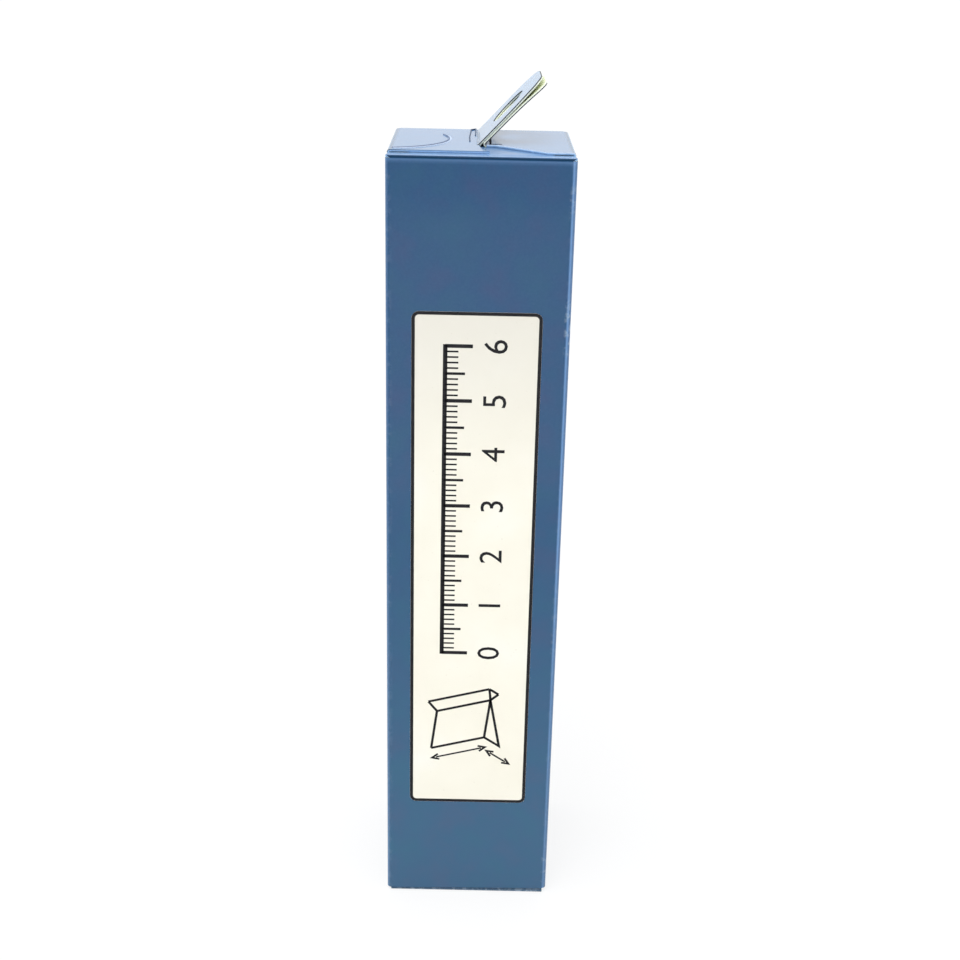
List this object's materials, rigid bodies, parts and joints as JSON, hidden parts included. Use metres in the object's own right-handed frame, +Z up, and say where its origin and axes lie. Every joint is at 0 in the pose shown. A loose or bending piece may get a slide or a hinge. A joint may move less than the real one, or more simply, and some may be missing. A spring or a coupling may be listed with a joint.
{
  "type": "paper clip dispenser carton",
  "caption": "Slim hang-tab folding carton with opening flaps, holding a hand-held dispenser that pushes folded steel clips out of its nozzle.",
  "frame": {"origin": "middle of the carton's base, where it stands", "axes": "+Z up the carton; -Y out of the labelled face; +X to the right when facing the label"},
  "size_m": [0.032, 0.0321, 0.1589],
  "materials": {
    "printed_board": "solid bleached board, printed, gloss varnish",
    "plain_board": "solid bleached board, unprinted, matte",
    "label_paper": "satin",
    "shell_plastic": "fine texture",
    "blue_plastic": "gloss",
    "spring_steel": "bright rolled"
  },
  "bodies": {
    "carton": {"front_wall": "printed_board", "back_wall": "printed_board", "left_wall": "printed_board", "right_wall": "printed_board", "glue_flap": "plain_board", "label": "label_paper", "dispenser_left_shell": "shell_plastic", "dispenser_right_shell": "shell_plastic", "end_cap": "blue_plastic", "nozzle": "blue_plastic", "left_spreader": "spring_steel", "right_spreader": "spring_steel", "shell_screw_1": "spring_steel", "shell_screw_2": "spring_steel", "shell_screw_3": "spring_steel"},
    "top_left": {"top_left_flap": "printed_board"},
    "top_right": {"top_right_flap": "printed_board"},
    "tab_left": {"hang_tab_left_ply": "printed_board"},
    "tab_right": {"hang_tab_right_ply": "printed_board"},
    "top_front_dust": {"top_front_dust_flap": "printed_board"},
    "top_back_dust": {"top_back_dust_flap": "printed_board"},
    "bottom_tuck": {"bottom_tuck_flap": "printed_board"},
    "bottom_left_dust": {"bottom_left_dust_flap": "printed_board"},
    "bottom_right_dust": {"bottom_right_dust_flap": "printed_board"},
    "slider": {"thumb_slider": "blue_plastic", "pusher": "blue_plastic", "clip_1": "spring_steel", "clip_2": "spring_steel", "clip_3": "spring_steel", "clip_4": "spring_steel", "clip_5": "spring_steel"}
  },
  "joints": [
    {"name": "top_left_open", "type": "hinge", "parent": "carton", "child": "top_left", "pos_m": [-0.01579, 0, 0.14689], "axis": [0, -1, 0], "range_deg": [0, 150]},
    {"name": "top_right_open", "type": "hinge", "parent": "carton", "child": "top_right", "pos_m": [0.01579, 0, 0.14689], "axis": [0, 1, 0], "range_deg": [0, 150]},
    {"name": "top_front_dust_open", "type": "hinge", "parent": "carton", "child": "top_front_dust", "pos_m": [0, -0.01579, 0.14642], "axis": [1, 0, 0], "range_deg": [0, 70]},
    {"name": "top_back_dust_open", "type": "hinge", "parent": "carton", "child": "top_back_dust", "pos_m": [0, 0.01579, 0.14642], "axis": [-1, 0, 0], "range_deg": [0, 70]},
    {"name": "hang_tab_tip", "type": "hinge", "parent": "top_left", "child": "tab_left", "pos_m": [-0.00033, 0, 0.14715], "axis": [0, -1, 0], "range_deg": [-6, 90]},
    {"name": "right_ply_tip", "type": "hinge", "parent": "top_right", "child": "tab_right", "pos_m": [0.00033, 0, 0.14715], "axis": [0, -1, 0], "range_deg": [-6, 90]},
    {"name": "bottom_tuck_open", "type": "hinge", "parent": "carton", "child": "bottom_tuck", "pos_m": [0, 0.01579, 0.00021], "axis": [1, 0, 0], "range_deg": [0, 120]},
    {"name": "bottom_left_dust_open", "type": "hinge", "parent": "carton", "child": "bottom_left_dust", "pos_m": [-0.01579, 0, 0.00068], "axis": [0, 1, 0], "range_deg": [0, 60]},
    {"name": "bottom_right_dust_open", "type": "hinge", "parent": "carton", "child": "bottom_right_dust", "pos_m": [0.01579, 0, 0.00068], "axis": [0, -1, 0], "range_deg": [0, 60]},
    {"name": "thumb_slide", "type": "slide", "parent": "carton", "child": "slider", "axis": [0, 0, 1], "range_m": [0, 0.042]}
  ],
  "couplings": [
    {"joint": "top_right_open", "follows": "top_left_open", "ratio": 1},
    {"joint": "top_front_dust_open", "follows": "top_left_open", "ratio": 0.45},
    {"joint": "top_back_dust_open", "follows": "top_left_open", "ratio": 0.45},
    {"joint": "right_ply_tip", "follows": "hang_tab_tip", "ratio": 1},
    {"joint": "bottom_left_dust_open", "follows": "bottom_tuck_open", "ratio": 0.45},
    {"joint": "bottom_right_dust_open", "follows": "bottom_tuck_open", "ratio": 0.45}
  ]
}
